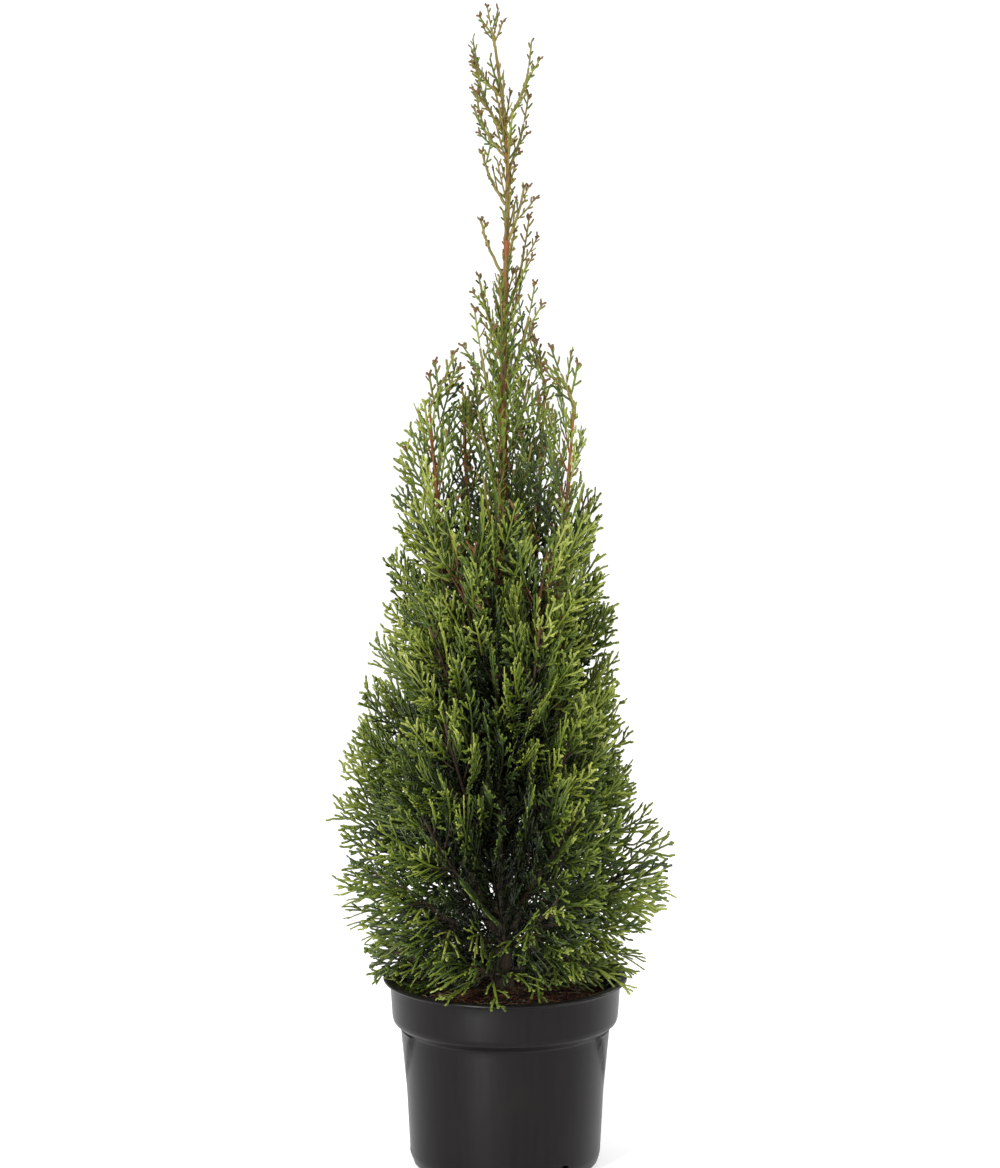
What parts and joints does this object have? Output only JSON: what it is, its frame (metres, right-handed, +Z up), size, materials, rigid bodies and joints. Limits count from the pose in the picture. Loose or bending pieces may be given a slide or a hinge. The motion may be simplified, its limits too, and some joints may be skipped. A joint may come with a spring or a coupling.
{
  "type": "potted conifer",
  "caption": "Young upright thuja with a bare leader and several side leaders, in a round wide-collared nursery pot filled with soil.",
  "frame": {"origin": "centre of the pot's flat underside, at mount pot_underside", "axes": "+Z up along the pot's axis; the side that the picture shows looks to -Y, and its right is +X"},
  "size_m": [0.2628, 0.2578, 0.8938],
  "materials": {
    "pot_plastic": "satin",
    "soil": "matte",
    "bark": "matte",
    "foliage": "matte"
  },
  "bodies": {
    "root": {"bough_back_left": "bark", "bough_back_right": "bark", "bough_front": "bark", "bough_left": "bark", "bough_right": "bark", "foliage_1_1": "foliage", "foliage_1_2": "foliage", "foliage_1_3": "foliage", "foliage_1_4": "foliage", "foliage_1_5": "foliage", "foliage_1_6": "foliage", "foliage_2_1": "foliage", "foliage_2_2": "foliage", "foliage_2_3": "foliage", "foliage_2_4": "foliage", "foliage_2_5": "foliage", "foliage_2_6": "foliage", "foliage_3_1": "foliage", "foliage_3_2": "foliage", "foliage_3_3": "foliage", "foliage_3_4": "foliage", "foliage_3_5": "foliage", "foliage_4_1": "foliage", "foliage_4_2": "foliage", "foliage_4_3": "foliage", "foliage_4_4": "foliage", "foliage_4_5": "foliage", "foliage_5_1": "foliage", "foliage_5_2": "foliage", "foliage_5_3": "foliage", "foliage_5_4": "foliage", "foliage_5_5": "foliage", "foliage_6_1": "foliage", "foliage_6_2": "foliage", "foliage_6_3": "foliage", "foliage_6_4": "foliage", "foliage_6_5": "foliage", "foliage_bough_back_left": "foliage", "foliage_bough_back_right": "foliage", "foliage_bough_front": "foliage", "foliage_bough_left": "foliage", "foliage_bough_right": "foliage", "foliage_lateral_1": "foliage", "foliage_lateral_10": "foliage", "foliage_lateral_11": "foliage", "foliage_lateral_12": "foliage", "foliage_lateral_13": "foliage", "foliage_lateral_14": "foliage", "foliage_lateral_2": "foliage", "foliage_lateral_3": "foliage", "foliage_lateral_4": "foliage", "foliage_lateral_5": "foliage", "foliage_lateral_6": "foliage", "foliage_lateral_7": "foliage", "foliage_lateral_8": "foliage", "foliage_lateral_9": "foliage", "foliage_tip": "foliage", "pot": "pot_plastic", "soil": "soil", "trunk": "bark"}
  },
  "joints": []
}
